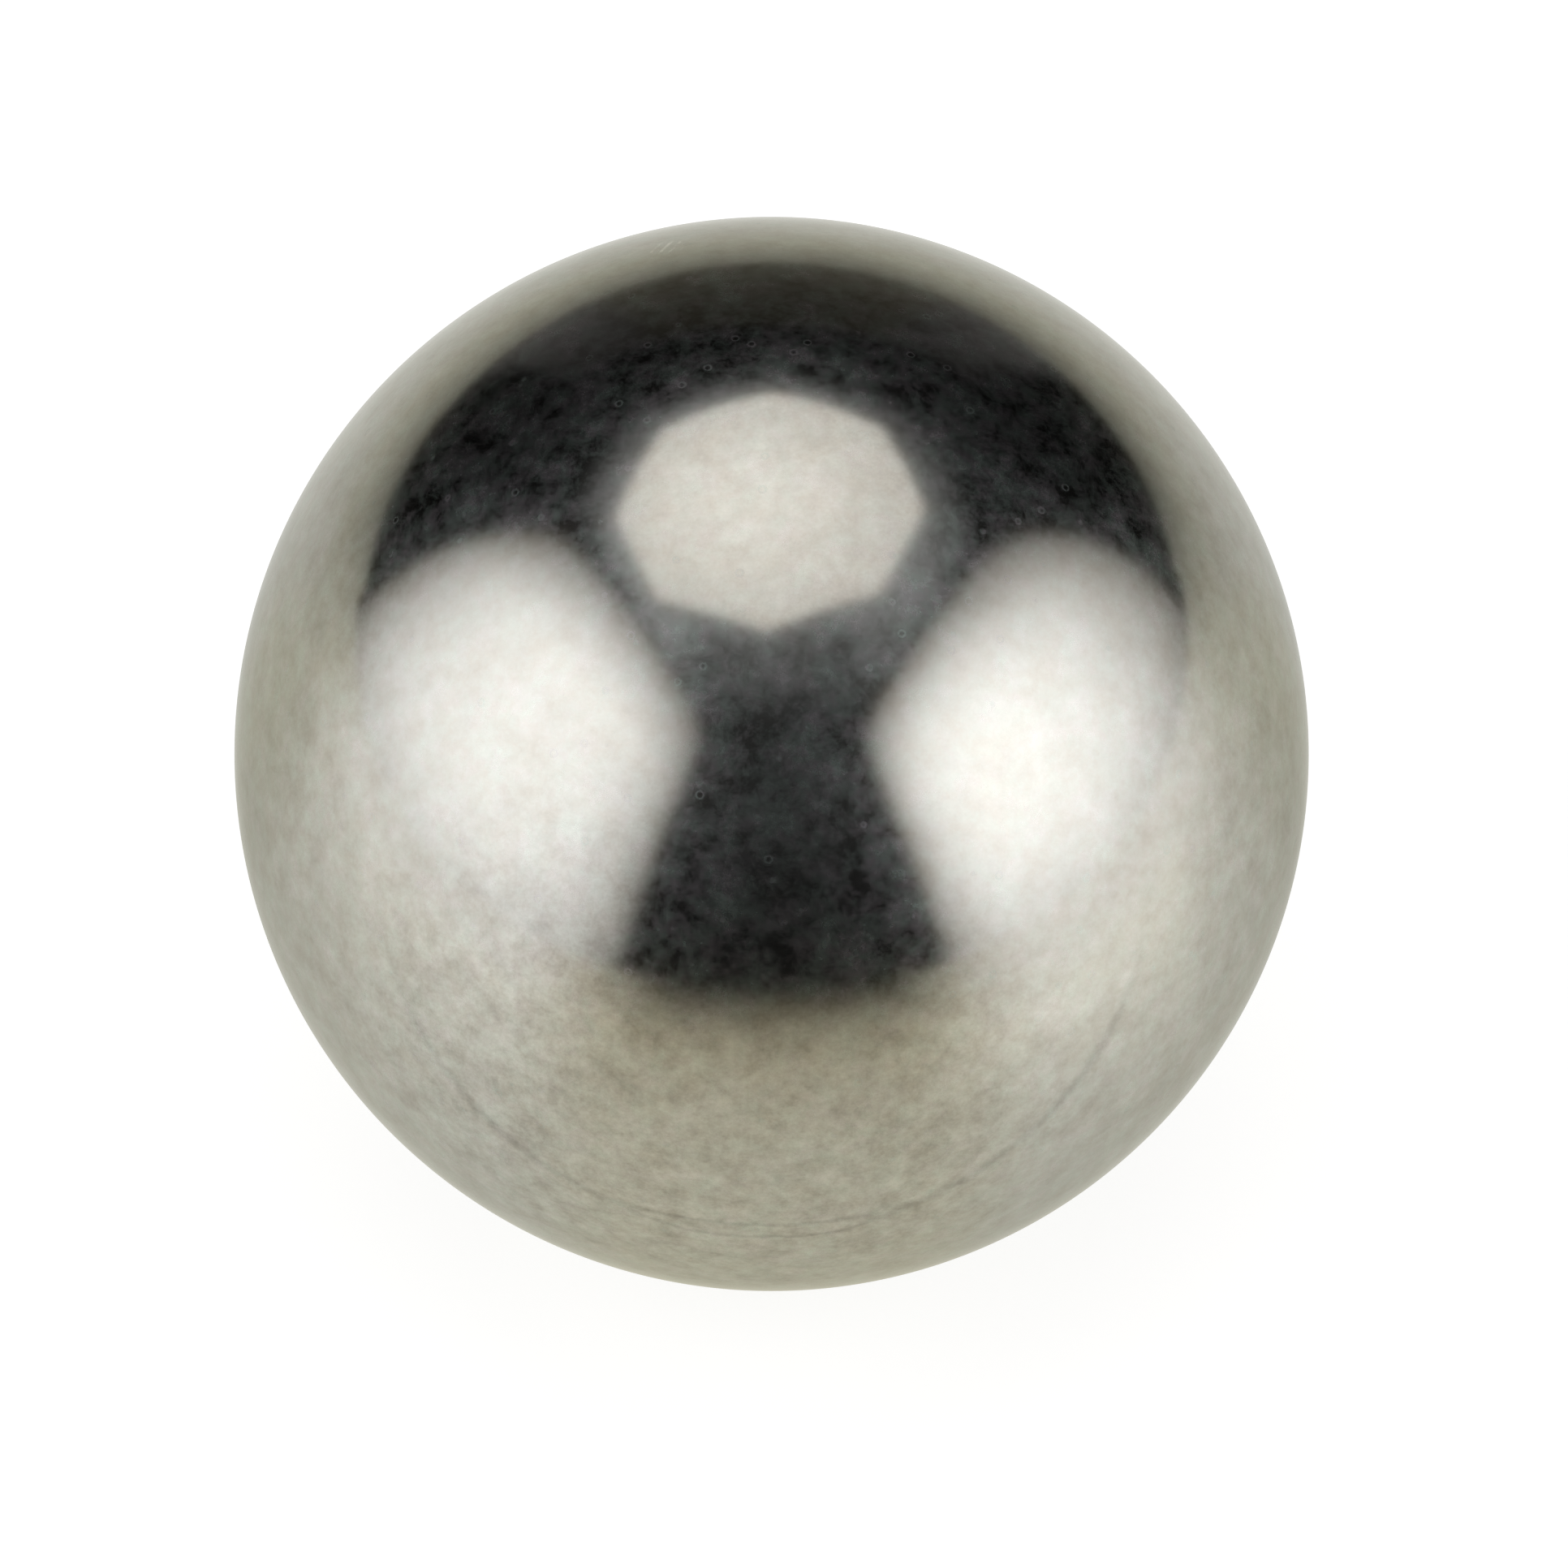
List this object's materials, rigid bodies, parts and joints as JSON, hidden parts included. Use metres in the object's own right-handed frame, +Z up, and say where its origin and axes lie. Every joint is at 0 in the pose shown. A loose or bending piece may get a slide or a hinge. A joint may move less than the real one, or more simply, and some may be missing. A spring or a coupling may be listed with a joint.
{
  "type": "steel ball",
  "caption": "Solid polished steel ball, as used in bearings, ball tracks, detents and desk toys.",
  "frame": {"origin": "centre of the ball", "axes": "a ball is the same about every axis; +Z points up, away from what it is seated on"},
  "size_m": [0.0254, 0.0254, 0.0254],
  "materials": {
    "polished_steel": "polished"
  },
  "bodies": {
    "root": {"ball": "polished_steel"}
  },
  "joints": []
}
